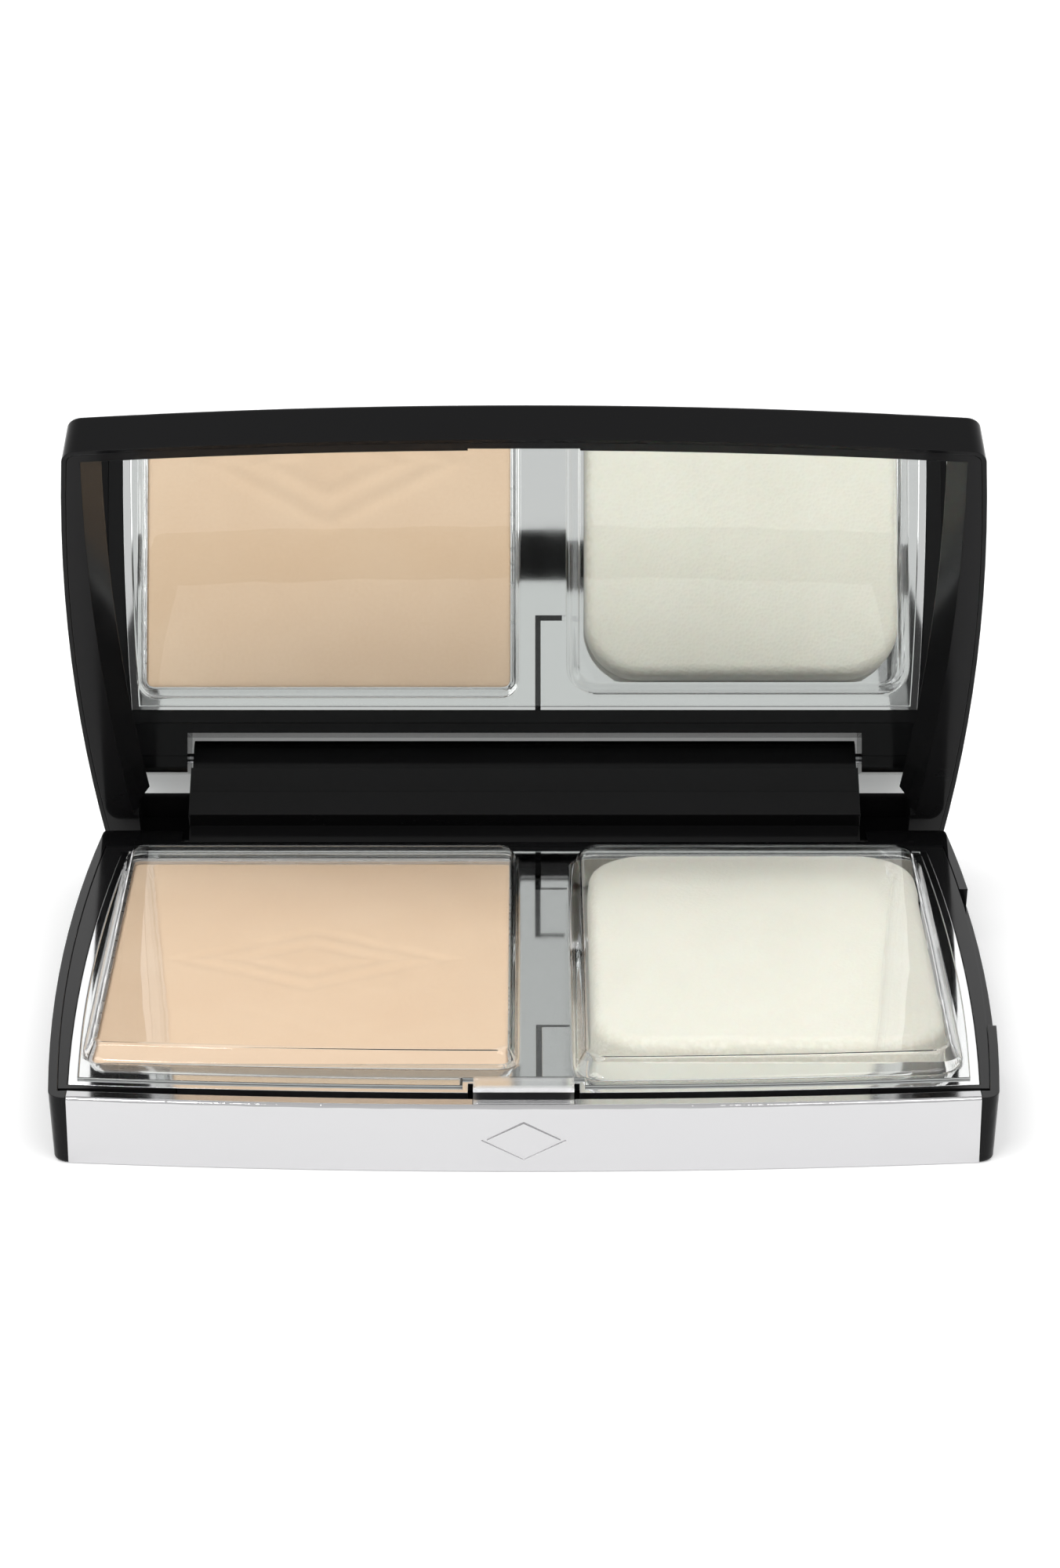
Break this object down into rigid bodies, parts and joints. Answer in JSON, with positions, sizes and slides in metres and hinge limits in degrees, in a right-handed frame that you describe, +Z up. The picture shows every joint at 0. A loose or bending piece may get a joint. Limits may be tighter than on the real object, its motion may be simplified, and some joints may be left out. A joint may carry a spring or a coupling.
{
  "type": "powder compact",
  "caption": "Slim hinged compact with a mirrored lid, a pan of pressed powder, a sponge in a chrome tray, a clear dust cover and a push bar that frees the lid.",
  "frame": {"origin": "centre of the underside, on the surface that the compact stands on", "axes": "+X to the user's right along the longest side, -Y towards the push bar at the front, +Z up"},
  "size_m": [0.104, 0.0833, 0.0709],
  "materials": {
    "black_case": "high gloss black",
    "black_inner": "gloss black inner moulding",
    "black_slider": "natural black acetal",
    "chrome_plate": "bright plated plastic",
    "spring_steel": "bright wire",
    "pin_steel": "turned",
    "pan_metal": "satin",
    "powder": "matt pressed powder",
    "sponge_foam": "fine soft foam with a flocked side",
    "clear_film": "clear vacuum-formed film",
    "mirror_silver": "polished",
    "adhesive_pad": "double-sided pad"
  },
  "bodies": {
    "base": {"base_shell": "black_case", "chassis": "black_inner", "powder_cassette": "chrome_plate", "powder_pan": "pan_metal", "pan_adhesive": "adhesive_pad", "pressed_powder": "powder", "sponge_tray": "chrome_plate", "sponge": "sponge_foam", "clear_cover": "clear_film", "hinge_pin_left": "pin_steel", "hinge_pin_right": "pin_steel", "bar_spring_left": "spring_steel", "bar_spring_right": "spring_steel"},
    "lid": {"lid_shell": "black_case", "mirror_frame": "black_inner", "mirror_glass": "mirror_silver", "mirror_adhesive": "adhesive_pad"},
    "push_bar": {"bar_fascia": "chrome_plate", "bar_slider": "black_slider", "latch_hook": "chrome_plate"}
  },
  "joints": [
    {"name": "lid_hinge", "type": "hinge", "parent": "base", "child": "lid", "pos_m": [0, 0.036, 0.0032], "axis": [-1, 0, 0], "range_deg": [-57.9, 37]},
    {"name": "bar_push", "type": "slide", "parent": "base", "child": "push_bar", "axis": [0, 1, 0], "range_m": [0, 0.0007], "stiffness_N_per_m": 400, "springref_m": -0.002, "deforming": ["bar_spring_left", "bar_spring_right"]}
  ]
}
